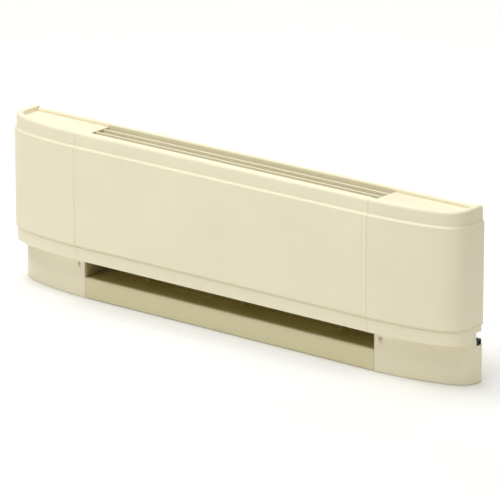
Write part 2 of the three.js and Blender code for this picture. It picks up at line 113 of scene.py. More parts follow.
def fillet(points, radii, steps=6):
    """A 2-D path with each inner corner rounded. Every corner gives steps + 1 points."""
    path = [np.array(points[0], float)]
    for before, corner, after, radius in zip(points, points[1:], points[2:], radii):
        corner = np.array(corner, float)
        back = np.array(before, float) - corner
        ahead = np.array(after, float) - corner
        back /= np.linalg.norm(back)
        ahead /= np.linalg.norm(ahead)
        half = math.acos(np.clip(np.dot(back, ahead), -1, 1)) / 2
        reach = radius / math.tan(half)
        middle = back + ahead
        middle /= np.linalg.norm(middle)
        centre = corner + middle * (radius / math.sin(half))
        start = corner + back * reach - centre
        end = corner + ahead * reach - centre
        turn = math.atan2(start[0] * end[1] - start[1] * end[0], np.dot(start, end))
        for step in range(steps + 1):
            angle = turn * step / steps
            spin = np.array([
                start[0] * math.cos(angle) - start[1] * math.sin(angle),
                start[0] * math.sin(angle) + start[1] * math.cos(angle),
            ])
            path.append(centre + spin)
    path.append(np.array(points[-1], float))
    return path


def offset(points, thickness):
    """The same path moved to its right by the thickness, with mitred corners."""
    points = [np.array(p, float) for p in points]
    rights = []
    for a, b in zip(points, points[1:]):
        step = (b - a) / np.linalg.norm(b - a)
        rights.append(np.array([step[1], -step[0]]))
    moved = []
    for i, point in enumerate(points):
        before = rights[max(i - 1, 0)]
        after = rights[min(i, len(rights) - 1)]
        side = before + after
        side /= np.linalg.norm(side)
        moved.append(point + side * (thickness / np.dot(side, after)))
    return moved


def resample(curve, count):
    """The curve with count + 1 points at equal steps along it."""
    curve = np.array(curve, float)
    lengths = np.r_[0, np.cumsum(np.linalg.norm(np.diff(curve, axis=0), axis=1))]
    at = np.linspace(0, lengths[-1], count + 1)
    return np.c_[np.interp(at, lengths, curve[:, 0]), np.interp(at, lengths, curve[:, 1])]


def superellipse(x, depth, end_x, across, along, count=4000):
    """A quarter of a superellipse in plan, from the seam at (x, depth) to the wall at end_x."""
    t = np.linspace(math.pi / 2, 0, count)
    reach_x = np.abs(np.cos(t)) ** (2 / across)
    reach_y = np.abs(np.sin(t)) ** (2 / along)
    return np.c_[x + (end_x - x) * reach_x, DEPTH - (DEPTH - depth) * reach_y]


def normals_of(curve):
    """Unit vectors into the heater, at right angles to a plan curve from the seam to the wall."""
    along = np.gradient(curve, axis=0)
    along[0] = (1, 0)
    along[-1] = (0, 1)
    along /= np.linalg.norm(along, axis=1)[:, None]
    return np.c_[-along[:, 1], along[:, 0]]


# ---- Mesh helpers ----

SHARP_DEGREES = 35


def mesh_object(name, verts, faces):
    mesh = bpy.data.meshes.new(name)
    mesh.from_pydata([tuple(v) for v in verts], [], faces)
    bm = bmesh.new()
    bm.from_mesh(mesh)
    bmesh.ops.remove_doubles(bm, verts=bm.verts, dist=2e-6)
    bmesh.ops.dissolve_degenerate(bm, edges=bm.edges, dist=2e-6)
    bmesh.ops.recalc_face_normals(bm, faces=bm.faces)
    bm.to_mesh(mesh)
    bm.free()
    mesh.shade_smooth()
    mesh.set_sharp_from_angle(angle=math.radians(SHARP_DEGREES))
    obj = bpy.data.objects.new(name, mesh)
    bpy.context.collection.objects.link(obj)
    return obj


def apply_modifiers(obj):
    graph = bpy.context.evaluated_depsgraph_get()
    baked = bpy.data.meshes.new_from_object(obj.evaluated_get(graph))
    obj.modifiers.clear()
    old = obj.data
    obj.data = baked
    bpy.data.meshes.remove(old)
    baked.shade_smooth()
    baked.set_sharp_from_angle(angle=math.radians(SHARP_DEGREES))
    return obj


def bevel(obj, width, segments=3, angle=40):
    modifier = obj.modifiers.new("bevel", "BEVEL")
    modifier.width = width / 1000
    modifier.segments = segments
    modifier.limit_method = "ANGLE"
    modifier.angle_limit = math.radians(angle)
    return apply_modifiers(obj)


def shell_from_grids(name, outer, inner):
    """A closed shell from two grids of points with the same rows and columns."""
    rows, columns = len(outer), len(outer[0])
    verts = [place(*p) for grid in (outer, inner) for row in grid for p in row]
    side = rows * columns

    def at(layer, row, column):
        return layer * side + row * columns + column

    faces = []
    for row in range(rows - 1):
        for column in range(columns - 1):
            quad = [(row, column), (row, column + 1), (row + 1, column + 1), (row + 1, column)]
            faces.append([at(0, *rc) for rc in quad])
            faces.append([at(1, *rc) for rc in reversed(quad)])
    rim = [(0, c) for c in range(columns)]
    rim += [(r, columns - 1) for r in range(1, rows)]
    rim += [(rows - 1, c) for c in range(columns - 2, -1, -1)]
    rim += [(r, 0) for r in range(rows - 2, 0, -1)]
    for a, b in zip(rim, rim[1:] + rim[:1]):
        faces.append([at(0, *b), at(0, *a), at(1, *a), at(1, *b)])
    return mesh_object(name, verts, faces)


def folded_sheet(name, path, radii, thickness, stations, swell=None, steps=6):
    """Folded sheet metal along X. swell(x) pushes the skin out at each station."""
    outer_path = fillet(path, radii, steps)
    inner_radii = [max(r - thickness, 0.15) for r in radii]
    inner_path = fillet(offset(path, thickness), inner_radii, steps)
    push = swell or (lambda x: 0)
    outer = [[(x, d + push(x), z) for x in stations] for d, z in outer_path]
    inner = [[(x, d + push(x), z) for x in stations] for d, z in inner_path]
    return shell_from_grids(name, outer, inner)


def box_mesh(name, low, high):
    corners = [
        place(x, d, z)
        for x in (low[0], high[0])
        for d in (low[1], high[1])
        for z in (low[2], high[2])
    ]
    faces = [(0, 1, 3, 2), (4, 6, 7, 5), (0, 4, 5, 1), (2, 3, 7, 6), (0, 2, 6, 4), (1, 5, 7, 3)]
    return mesh_object(name, corners, faces)


def cylinder_mesh(name, axis, radius, start, end, centre, sides=32):
    """A closed cylinder between two places on an axis."""
    ring = []
    for at in (start, end):
        for i in range(sides):
            turn = 2 * math.pi * i / sides
            p = [centre[0], centre[1], centre[2]]
            u, v = [k for k in range(3) if k != axis]
            p[axis] = at
            p[u] += radius * math.cos(turn)
            p[v] += radius * math.sin(turn)
            ring.append(place(*p))
    faces = [[i, (i + 1) % sides, sides + (i + 1) % sides, sides + i] for i in range(sides)]
    faces += [list(range(sides)), list(range(2 * sides - 1, sides - 1, -1))]
    return mesh_object(name, ring, faces)


def ring_faces(rings, sides, closed=False):
    """Quads between neighbouring rings of points, and back to the first ring if closed."""
    faces = []
    for ring in range(rings if closed else rings - 1):
        after = (ring + 1) % rings
        for i in range(sides):
            j = (i + 1) % sides
            faces.append([ring * sides + i, ring * sides + j, after * sides + j, after * sides + i])
    return faces


def turned(name, axis, profile, centre, sides=40):
    """A round piece about an axis: profile points are (radius, place along the axis)."""
    u, v = [k for k in range(3) if k != axis]
    verts = []
    for radius, along in profile:
        for i in range(sides):
            turn = 2 * math.pi * i / sides
            p = [centre[0], centre[1], centre[2]]
            p[axis] = along
            p[u] += radius * math.cos(turn)
            p[v] += radius * math.sin(turn)
            verts.append(place(*p))
    faces = ring_faces(len(profile), sides)
    if profile[0][0] > 0.01 and profile[0] != profile[-1]:
        faces.append(list(range(sides)))
    if profile[-1][0] > 0.01 and profile[0] != profile[-1]:
        last = (len(profile) - 1) * sides
        faces.append([last + i for i in reversed(range(sides))])
    return mesh_object(name, verts, faces)


def combine(obj, operation, tools):
    for tool in tools:
        modifier = obj.modifiers.new("combine", "BOOLEAN")
        modifier.operation = operation
        modifier.solver = "MANIFOLD"
        modifier.object = tool
    apply_modifiers(obj)
    for tool in tools:
        bpy.data.objects.remove(tool)
    return obj


def cut_with(obj, *tools):
    return combine(obj, "DIFFERENCE", tools)


def unite(obj, other):
    return combine(obj, "UNION", [other])


def mirrored(obj, name):
    mesh = obj.data.copy()
    for vertex in mesh.vertices:
        vertex.co.x = -vertex.co.x
    mesh.flip_normals()
    copy = bpy.data.objects.new(name, mesh)
    bpy.context.collection.objects.link(copy)
    return copy


def tube(name, points, radius):
    """A round wire through points given in millimetres."""
    curve = bpy.data.curves.new(name, "CURVE")
    curve.dimensions = "3D"
    curve.bevel_depth = radius / 1000
    curve.bevel_resolution = 8
    curve.use_fill_caps = True
    spline = curve.splines.new("NURBS")
    spline.points.add(len(points) - 1)
    for point, co in zip(spline.points, points):
        point.co = (*place(*co), 1)
    spline.use_endpoint_u = True
    spline.order_u = 4
    spline.resolution_u = 12
    obj = bpy.data.objects.new(name, curve)
    bpy.context.collection.objects.link(obj)
    graph = bpy.context.evaluated_depsgraph_get()
    mesh = bpy.data.meshes.new_from_object(obj.evaluated_get(graph))
    bpy.data.objects.remove(obj)
    mesh.shade_smooth()
    made = bpy.data.objects.new(name, mesh)
    bpy.context.collection.objects.link(made)
    return made


# ---- Materials ----

class Nodes:
    """A material's node tree, with short calls to add and link nodes."""

    def __init__(self, name):
        self.material = bpy.data.materials.new(name)
        self.material.use_nodes = True
        self.tree = self.material.node_tree
        self.tree.nodes.clear()
        self.shader = self.add("ShaderNodeBsdfPrincipled")
        output = self.add("ShaderNodeOutputMaterial")
        self.link(self.shader, "BSDF", output, "Surface")
        self.coords = self.add("ShaderNodeTexCoord")

    def add(self, kind, **settings):
        node = self.tree.nodes.new(kind)
        for key, value in settings.items():
            setattr(node, key, value)
        return node

    def link(self, a, output, b, entry):
        self.tree.links.new(a.outputs[output], b.inputs[entry])

    def texture(self, kind, scale, stretch=(1, 1, 1), **inputs):
        """A procedural texture in object space, stretched by a mapping."""
        mapping = self.add("ShaderNodeMapping")
        mapping.inputs["Scale"].default_value = stretch
        self.link(self.coords, "Object", mapping, "Vector")
        node = self.add(kind)
        node.inputs["Scale"].default_value = scale
        for key, value in inputs.items():
            node.inputs[key].default_value = value
        self.link(mapping, "Vector", node, "Vector")
        return node

    def ramp(self, source, output, stops):
        """A colour ramp over a texture's output: stops are (position, colour)."""
        node = self.add("ShaderNodeValToRGB")
        elements = node.color_ramp.elements
        while len(elements) < len(stops):
            elements.new(0.5)
        for element, (position, colour) in zip(elements, stops):
            element.position = position
            element.color = (*colour, 1)
        self.link(source, output, node, "Fac")
        return node

    def spread(self, source, output, low, high):
        """A texture's output mapped to low..high."""
        node = self.add("ShaderNodeMapRange")
        node.inputs["From Min"].default_value = 0.25
        node.inputs["From Max"].default_value = 0.75
        node.inputs["To Min"].default_value = low
        node.inputs["To Max"].default_value = high
        self.link(source, output, node, "Value")
        return node

    def step(self, source, output, start, end):
        """0 at start and 1 at end, and level beyond them."""
        node = self.add("ShaderNodeMapRange", interpolation_type="SMOOTHSTEP")
        node.inputs["From Min"].default_value = start
        node.inputs["From Max"].default_value = end
        self.link(source, output, node, "Value")
        return node

    def product(self, *steps):
        """All the steps' results multiplied together."""
        whole = steps[0]
        for other in steps[1:]:
            node = self.add("ShaderNodeMath", operation="MULTIPLY")
            self.tree.links.new(whole.outputs[0], node.inputs[0])
            self.tree.links.new(other.outputs[0], node.inputs[1])
            whole = node
        return whole

    def blend(self, factor, under, over):
        """The colour over laid on the colour socket under by a factor node's first output."""
        node = self.add("ShaderNodeMix", data_type="RGBA")
        self.tree.links.new(factor.outputs[0], node.inputs["Factor"])
        self.tree.links.new(under, node.inputs[6])
        node.inputs[7].default_value = (*over, 1)
        return node.outputs[2]

    def bump(self, source, output, strength, distance, under=None):
        node = self.add("ShaderNodeBump")
        node.inputs["Strength"].default_value = strength
        node.inputs["Distance"].default_value = distance
        self.link(source, output, node, "Height")
        if under:
            self.link(under, "Normal", node, "Normal")
        return node

    def set(self, **inputs):
        for key, value in inputs.items():
            self.shader.inputs[key.replace("_", " ")].default_value = value


def tone(colour, factor):
    return tuple(min(c * factor, 1) for c in colour)


def srgb(red, green, blue):
    """A linear colour from 0-255 sRGB values."""
    def linear(value):
        value /= 255
        return value / 12.92 if value <= 0.04045 else ((value + 0.055) / 1.055) ** 2.4
    return tuple(linear(value) for value in (red, green, blue))


ALMOND = srgb(240, 233, 207)
# Painted shadow: a darker line along the groove between the lip and the front face.
GROOVE_SHADOW = (0.72, 0.66, 0.45)
# Painted shade inside the intake slot.
INTAKE_SHADE = (0.64, 0.54, 0.19)
# Painted shade, darker still, on the bulkhead faces at the ends of the intake.
JAMB_SHADE = (0.33, 0.28, 0.10)
# A darker brown in the cap screws' recesses and round their heads.
RECESS_BROWN = (0.35, 0.28, 0.13)
# A darker tone over the toe-kick and its top bend.
TOE_KICK_DARKER = (0.74, 0.68, 0.44)

# Zones of the painted shades and darker tones in the frame's millimetres: along each axis the
# colour goes from none at the first place to full at the second.
GROOVE = [("Z", GROOVE_Z - 3.6, GROOVE_Z - 0.8), ("Z", GROOVE_Z + 3, GROOVE_Z + 0.2)]
PANEL_FRONT = [("Y", -30, -31)]
INTAKE = [("Y", -16.8, -12), ("Y", 35.8, 35.6), ("Z", 80, 56), ("X", -245, -244.6), ("X", 245, 244.6)]
TOE_KICK = [("Y", -15, -16.8), ("Z", 32.5, 30)]


def jamb(side):
    """The bulkhead's face at one end of the intake."""
    across = [("X", side * 243.3, side * 243.8), ("X", side * 245, side * 244.6)]
    return [*across, ("Y", -18.5, -17), ("Z", 80, 56)]


def screw_recess(side):
    """The recess and the foot of a cap screw's head."""
    return [("X", side * 250, side * 250.5), ("Y", -16.3, -16.1), ("Y", -14.8, -15)]


def painted(name, colour, peel_scale, peel_strength, roughness, highlight_gain, shade_and_darkening=False):
    """Baked powder coat or moulded plastic: fine orange peel, faint mottling, painted highlights on edges.

    Both hold a painted shadow line in the groove. The cabinet's paint also holds painted shade inside
    the intake and on its end faces, a darker brown in the cap screws' recesses, and a darker toe-kick.
    """
    nodes = Nodes(name)
    mottle = nodes.texture("ShaderNodeTexNoise", 9, Detail=4.0, Roughness=0.6)
    body = nodes.ramp(mottle, "Fac", [(0.3, tone(colour, 0.975)), (0.7, tone(colour, 1.02))])
    geometry = nodes.add("ShaderNodeNewGeometry")
    # Painted highlight: pointy convex edges are lightened.
    edge = nodes.add("ShaderNodeValToRGB")
    edge.color_ramp.elements[0].position = 0.52
    edge.color_ramp.elements[0].color = (0, 0, 0, 1)
    edge.color_ramp.elements[1].position = 0.62
    edge.color_ramp.elements[1].color = (highlight_gain, highlight_gain, highlight_gain, 1)
    nodes.link(geometry, "Pointiness", edge, "Fac")
    skin = nodes.blend(edge, body.outputs["Color"], tone(colour, 1.12))
    parts = nodes.add("ShaderNodeSeparateXYZ")
    nodes.link(nodes.coords, "Object", parts, "Vector")
    shades_and_tones = [(GROOVE + PANEL_FRONT if shade_and_darkening else GROOVE, GROOVE_SHADOW)]
    if shade_and_darkening:
        shades_and_tones.append((INTAKE, INTAKE_SHADE))
        for side in (-1, 1):
            shades_and_tones += [(jamb(side), JAMB_SHADE), (screw_recess(side), RECESS_BROWN)]
        shades_and_tones.append((TOE_KICK, TOE_KICK_DARKER))
    # Each painted shade and darker tone is laid over its zone.
    for zone, shade_tone in shades_and_tones:
        steps = [nodes.step(parts, axis, start / 1000, end / 1000) for axis, start, end in zone]
        skin = nodes.blend(nodes.product(*steps), skin, shade_tone)
    nodes.tree.links.new(skin, nodes.shader.inputs["Base Color"])
    haze = nodes.texture("ShaderNodeTexNoise", 40, Detail=3.0, Roughness=0.5)
    rough = nodes.spread(haze, "Fac", roughness - 0.04, roughness + 0.05)
    nodes.link(rough, "Result", nodes.shader, "Roughness")
    peel = nodes.texture("ShaderNodeTexNoise", peel_scale, Detail=2.0, Roughness=0.45)
    wave = nodes.texture("ShaderNodeTexNoise", 14, Detail=1.0, Roughness=0.4)
    low = nodes.bump(wave, "Fac", 0.05, 0.001)
    fine = nodes.bump(peel, "Fac", peel_strength, 0.0002, low)
    nodes.link(fine, "Normal", nodes.shader, "Normal")
    nodes.set(IOR=1.48, Coat_Weight=0.12, Coat_Roughness=0.25)
    return nodes.material


def galvanised():
    """Zinc-coated sheet with a soft spangle and rolling streaks."""
    nodes = Nodes("galvanised")
    cells = nodes.texture("ShaderNodeTexVoronoi", 160, Randomness=1.0)
    spangle = nodes.ramp(cells, "Color", [(0.2, (0.40, 0.41, 0.41)), (0.8, (0.56, 0.57, 0.58))])
    nodes.link(spangle, "Color", nodes.shader, "Base Color")
    streak = nodes.texture("ShaderNodeTexNoise", 60, (1, 1, 0.06), Detail=4.0, Roughness=0.6)
    rough = nodes.spread(streak, "Fac", 0.36, 0.52)
    nodes.link(rough, "Result", nodes.shader, "Roughness")
    grain = nodes.bump(streak, "Fac", 0.12, 0.0002)
    nodes.link(grain, "Normal", nodes.shader, "Normal")
    nodes.set(Metallic=0.9)
    return nodes.material


def bare_metal(name, dark, light, roughness, stretch, scale=90):
    """Drawn or stamped metal with a directional grain."""
    nodes = Nodes(name)
    grain = nodes.texture("ShaderNodeTexNoise", scale, stretch, Detail=5.0, Roughness=0.65)
    shade = nodes.ramp(grain, "Fac", [(0.3, dark), (0.7, light)])
    nodes.link(shade, "Color", nodes.shader, "Base Color")
    rough = nodes.spread(grain, "Fac", roughness - 0.06, roughness + 0.08)
    nodes.link(rough, "Result", nodes.shader, "Roughness")
    lines = nodes.bump(grain, "Fac", 0.1, 0.0001)
    nodes.link(lines, "Normal", nodes.shader, "Normal")
    nodes.set(Metallic=1.0)
    return nodes.material


def heated_sheath():
    """Steel tube, straw and blue where it has been hot."""
    nodes = Nodes("heated_sheath")
    patch = nodes.texture("ShaderNodeTexNoise", 22, (1, 3, 3), Detail=4.0, Roughness=0.6)
    tint = nodes.ramp(patch, "Fac", [
        (0.3, (0.20, 0.17, 0.13)),
        (0.5, (0.34, 0.27, 0.18)),
        (0.7, (0.22, 0.22, 0.25)),
    ])
    nodes.link(tint, "Color", nodes.shader, "Base Color")
    rough = nodes.spread(patch, "Fac", 0.34, 0.5)
    nodes.link(rough, "Result", nodes.shader, "Roughness")
    nodes.set(Metallic=1.0)
    return nodes.material


def moulded(name, colour, roughness, grain_scale, grain_strength=0.12):
    """Small moulded or ceramic parts and wire insulation."""
    nodes = Nodes(name)
    speck = nodes.texture("ShaderNodeTexNoise", grain_scale, Detail=3.0, Roughness=0.6)
    shade = nodes.ramp(speck, "Fac", [(0.3, tone(colour, 0.9)), (0.7, tone(colour, 1.1))])
    nodes.link(shade, "Color", nodes.shader, "Base Color")
    rough = nodes.spread(speck, "Fac", roughness - 0.05, roughness + 0.05)
    nodes.link(rough, "Result", nodes.shader, "Roughness")
    grain = nodes.bump(speck, "Fac", grain_strength, 0.0001)
    nodes.link(grain, "Normal", nodes.shader, "Normal")
    return nodes.material


MATERIALS = {
    "almond_paint": painted("almond_paint", ALMOND, 900, 0.16, 0.42, 0.5, shade_and_darkening=True),
    "almond_plastic": painted("almond_plastic", ALMOND, 1500, 0.12, 0.44, 0.4),
    "galvanised": galvanised(),
    "aluminium": bare_metal("aluminium", (0.50, 0.51, 0.52), (0.68, 0.69, 0.70), 0.34, (1, 1, 0.08)),
    "steel": bare_metal("steel", (0.38, 0.39, 0.41), (0.56, 0.57, 0.59), 0.32, (1, 1, 1), 300),
    "copper": bare_metal("copper", (0.42, 0.19, 0.10), (0.62, 0.32, 0.18), 0.34, (0.1, 1, 1)),
    "heated_steel": heated_sheath(),
    "ceramic": moulded("ceramic", (0.72, 0.70, 0.64), 0.55, 400),
    "black_plastic": moulded("black_plastic", (0.012, 0.012, 0.013), 0.45, 700),
    "black_wire": moulded("black_wire", (0.015, 0.015, 0.016), 0.38, 200, 0.05),
    "red_wire": moulded("red_wire", (0.36, 0.018, 0.014), 0.38, 200, 0.05),
    "green_wire": moulded("green_wire", (0.012, 0.16, 0.04), 0.38, 200, 0.05),
    "orange_plastic": moulded("orange_plastic", (0.60, 0.17, 0.02), 0.42, 500),
}

SLOT_OF = {part["node"]: part["material_slot"] for part in frame["record"]["subparts"]}
BODY_OF = {
    node: body
    for body, nodes in frame["record"]["behaviour"]["bodies"].items()
    for node in nodes
}


def finish_piece(obj, node):
    """Gives a piece its material and slot, and lets it stand for a CAD node on the same body."""
    slot = SLOT_OF[node]
    obj.data.materials.clear()
    obj.data.materials.append(MATERIALS[slot])
    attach(obj, BODY_OF[node])
    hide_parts(node)


def refine(node):
    """The CAD solid with rounded edges, as a new piece."""
    mesh = frame["nodes"][node].data.copy()
    obj = bpy.data.objects.new(node + "_fine", mesh)
    bpy.context.collection.objects.link(obj)
    bm = bmesh.new()
    bm.from_mesh(mesh)
    bmesh.ops.remove_doubles(bm, verts=bm.verts, dist=1e-6)
    bmesh.ops.dissolve_limit(bm, angle_limit=math.radians(1), verts=bm.verts, edges=bm.edges)
    bm.to_mesh(mesh)
    bm.free()
    bevel(obj, 0.25, 2)
    finish_piece(obj, node)


# ---- Skins: front panel and end caps share one profile from the lip to the top rim ----

SKIN_PATH = [
    (LIP_SETBACK, LIP_BOTTOM),
    (LIP_SETBACK, GROOVE_Z - 1.3),
    (0, GROOVE_Z + 0.9),
    (0, SHOULDER_Z),
    (BAND_SETBACK, SHOULDER_Z + BAND_SETBACK),
    (BAND_SETBACK, HEIGHT),
]
SKIN_RADII = [1.2, 1.3, 1.3, 0.6, 0.6, 5]
RIM_RADIUS = 1.2
STEPS = 6


def edge_stations(half, inner, count, round_edge=0.5):
    """X stations across a panel, close together at its ends."""
    near = [half, half - 0.12, half - 0.3, half - round_edge]
    middle = np.linspace(-inner, inner, count)
    return [-x for x in near] + list(middle) + near[::-1]


def seam_push(half, round_edge=0.5, bead_at=6.5, bead=0.45):
    """How far the panel's skin moves back: its end edges are rolled, with a faint crease beside them."""
    def push(x):
        gap = half - abs(x)
        crease = bead * math.exp(-((gap - bead_at) / 1.1) ** 2)
        if gap >= round_edge:
            return crease
        return crease + round_edge - math.sqrt(max(round_edge ** 2 - (round_edge - gap) ** 2, 0))
    return push


def make_front_panel():
    path = [(9, LIP_BOTTOM), *SKIN_PATH, (RIM_BACK, HEIGHT), (RIM_BACK, SHELF_Z)]
    radii = [*SKIN_RADII, RIM_RADIUS]
    bead_zone = np.linspace(PANEL_HALF - 10, PANEL_HALF - 1, 19)
    stations = edge_stations(PANEL_HALF, PANEL_HALF - 12, 41)
    stations = sorted(set(np.round([*stations, *bead_zone, *(-bead_zone)], 3)))
    obj = folded_sheet("front_panel_skin", path, radii, SHEET, stations, seam_push(PANEL_HALF), STEPS)
    finish_piece(obj, "front_panel")


COLUMNS = 150
FRONT_COLUMNS = 100
SEAM_ROLL = [(0, 0.5), (0.12, 0.18), (0.32, 0.04)]

BODY_CURVE = resample(superellipse(SEAM_X, 0, HALF_LENGTH, 1.5, 6), COLUMNS)
BASE_PLAN = superellipse(BASE_SEAM_X, BASE_FRONT, BASE_END_X, 1.3, 3.66)


def base_curve(share):
    """The base's plan at a share of its height, from the seam to the wall.

    Behind the crease it stays on the plan curve. In front it leans back as it rises, and the crease
    moves towards the end.
    """
    crease_x = CREASE_BOTTOM_X + share * (CREASE_TOP_X - CREASE_BOTTOM_X)
    crease_y, bottom_y = np.interp([crease_x, CREASE_BOTTOM_X], BASE_PLAN[:, 0], BASE_PLAN[:, 1])
    behind = np.r_[[(crease_x, crease_y)], BASE_PLAN[BASE_PLAN[:, 0] > crease_x]]
    before = np.r_[BASE_PLAN[BASE_PLAN[:, 0] < CREASE_BOTTOM_X], [(CREASE_BOTTOM_X, bottom_y)]]
    before = resample(before, FRONT_COLUMNS)
    along = (before[:, 0] - BASE_SEAM_X) / (CREASE_BOTTOM_X - BASE_SEAM_X)
    curved = (before[:, 1] - BASE_FRONT) / (bottom_y - BASE_FRONT)
    back = curved + share * (along ** CREASE_BOW - curved)
    front = np.c_[
        BASE_SEAM_X + along * (crease_x - BASE_SEAM_X),
        BASE_FRONT + back * (crease_y - BASE_FRONT),
    ]
    return np.r_[front[:-1], resample(behind, COLUMNS - FRONT_COLUMNS)]


def section(curve, inset, z, seam_x, wall, roll=True):
    """A closed outline: the plan curve moved in by inset, then the wall side and the seam side."""
    points = curve + normals_of(curve) * inset
    front = points[0][1]
    if roll:
        row = [(seam_x + x, front + back, z) for x, back in SEAM_ROLL]
    else:
        row = [(seam_x + x, front, z) for x, _ in SEAM_ROLL]
    row += [(x, d, z) for x, d in points[1:]]
    row += [(points[-1][0], wall, z), (seam_x, wall, z)]
    return row


def loft(name, rows):
    """A closed solid through outlines that all have the same number of points."""
    count = len(rows[0])
    verts = [place(*p) for row in rows for p in row]
    faces = [list(range(count)), [(len(rows) - 1) * count + i for i in reversed(range(count))]]
    return mesh_object(name, verts, faces + ring_faces(len(rows), count))


def body_solid(name, path, radii, seam_x, wall, roll=True):
    return loft(name, [
        section(BODY_CURVE, inset, z, seam_x, wall, roll) for inset, z in fillet(path, radii, STEPS)
    ])


def base_solid(name, levels, seam_x, wall, inset, roll=True):
    rows = []
    for z, chamfer in levels:
        curve = base_curve(min(max(z / (LIP_BOTTOM + CAP_WALL), 0), 1))
        rows.append(section(curve, inset + chamfer, z, seam_x, wall, roll))
    return loft(name, rows)


def make_end_caps():
    body_path = [(8, LIP_BOTTOM), *SKIN_PATH, (9, HEIGHT)]
    cap = body_solid("right_end_cap_shell", body_path, SKIN_RADII, SEAM_X, DEPTH)
    base_levels = [(0, 0.35), (0.35, 0), (12, 0), (24, 0), (36, 0), (48, 0), (LIP_BOTTOM + 0.4, 0)]
    unite(cap, base_solid("base", base_levels, BASE_SEAM_X, DEPTH, 0))
    recess_path = [
        (20, SHELF_Z),
        (EAR_INSET + 0.6, SHELF_Z),
        (EAR_INSET, HEIGHT - 0.9),
        (EAR_INSET - 2.4, HEIGHT + 0.6),
        (EAR_INSET - 2.4, HEIGHT + 3),
    ]
    recess = body_solid("recess", recess_path, [1.4, 1.5, 0.5], SEAM_X - 12, DEPTH + 3, False)
    inner = LIP_BOTTOM + CAP_WALL
    hollow_path = [
        (LIP_SETBACK + CAP_WALL, inner),
        (LIP_SETBACK + CAP_WALL, GROOVE_Z - 1),
        (CAP_WALL, GROOVE_Z + 4),
        (CAP_WALL, SHOULDER_Z - 2),
        (BAND_SETBACK + CAP_WALL, SHOULDER_Z + 1),
        (BAND_SETBACK + CAP_WALL, SHELF_Z - CAP_WALL),
    ]
    hollow = body_solid("hollow", hollow_path, [2, 2, 1, 1], SEAM_X - 12, DEPTH + 5, False)
    base_hollow = base_solid("base_hollow", [(-1, 0), (20, 0), (40, 0), (inner + 1, 0)], BASE_SEAM_X - 12,
                             DEPTH + 5, CAP_WALL, False)
    low, high = box_mm("supply_cable_clamp")
    notch = box_mesh("notch", (NOTCH_X, low[1] - 0.7, low[2] - 0.4), (400, DEPTH + 6, high[2] + 9.3))
    rim_room = box_mesh("rim_room", (230, BACK_LOW[1] - 0.3, SHELF_Z - 4), (BACK_HIGH[0] + 0.5, 90, 260))
    screw_low, screw_high = box_mm("right_cap_screw")
    middle = (screw_low + screw_high) / 2
    seat_radius = (screw_high[0] - screw_low[0]) / 2 + 0.3
    seat = cylinder_mesh("seat", 1, seat_radius, 5, screw_low[1] + 1.4, middle)
    hole = cylinder_mesh("hole", 1, 2, 5, 30, middle)
    cut_with(cap, recess, hollow, base_hollow, rim_room, notch, seat, hole)
    tongue = box_mesh("tongue", (TONGUE_X, RIM_BACK + 0.8, SHELF_Z - CAP_WALL),
                      (SEAM_X + 2, BACK_LOW[1] - 0.3, SHELF_Z))
    unite(cap, tongue)
    bevel(cap, 0.25, 2, 50)
    left = mirrored(cap, "left_end_cap_shell")
    finish_piece(cap, "right_end_cap")
    finish_piece(left, "left_end_cap")


# ---- Cabinet sheet metal ----

def make_back_panel():
    path = [
        (BACK_LOW[1], BACK_HEM_Z),
        (BACK_LOW[1], BACK_HIGH[2]),
        (DEPTH, BACK_HIGH[2]),
        (DEPTH, 0),
    ]
    stations = edge_stations(BACK_HIGH[0], BACK_HIGH[0] - 2, 30)
    panel = folded_sheet("back_panel_sheet", path, [3.4, 1], SHEET, stations)
    tools = []
    front, back = DEPTH - 3, DEPTH + 2
    slot_width, slot_height = KEYHOLE_SLOT
    for x in (-KEYHOLE_X, KEYHOLE_X):
        tools.append(cylinder_mesh("key", 1, KEYHOLE_RADIUS, front, back, (x, 0, KEYHOLE_Z)))
        tools.append(box_mesh("slot", (x - slot_width / 2, front, KEYHOLE_Z),
                              (x + slot_width / 2, back, KEYHOLE_Z + slot_height)))
    for x in (-CABLE_HOLE_X, CABLE_HOLE_X):
        tools.append(cylinder_mesh("cable_hole", 1, CABLE_HOLE_RADIUS, front, back, (x, 0, CABLE_HOLE_Z), 48))
    cut_with(panel, *tools)
    finish_piece(panel, "back_panel")


def make_base_pan():
    front = PAN_LOW[1]
    top = PAN_HIGH[2]
    path = [(31, 0), (front, 0), (front, top), (PAN_HIGH[1], top - 4), (PAN_HIGH[1], 8)]
    stations = edge_stations(PAN_HIGH[0], PAN_HIGH[0] - 2, 30)
    pan = folded_sheet("base_pan_sheet", path, [1.3, 2.2, 1.3], 1.2, stations, steps=8)
    finish_piece(pan, "base_pan")


def make_slats():
    for place_name in ("front", "middle", "rear"):
        node = f"{place_name}_grille_slat"
        low, high = box_mm(node)
        slat = box_mesh(node + "_blade", low, high)
        bevel(slat, 0.6, 4)
        finish_piece(slat, node)


# ---- Heating element ----

def make_element():
    low, high = box_mm("element_tube")
    centre = (low + high) / 2
    radius = (high[2] - low[2]) / 2
    tube_piece = cylinder_mesh("element_sheath", 0, radius, low[0], high[0], centre, 40)
    bevel(tube_piece, 0.4, 3)
    finish_piece(tube_piece, "element_tube")
    for bank in range(1, 5):
        make_fin_bank(f"fin_bank_{bank}", centre, radius)


FIN_SIDES = 96


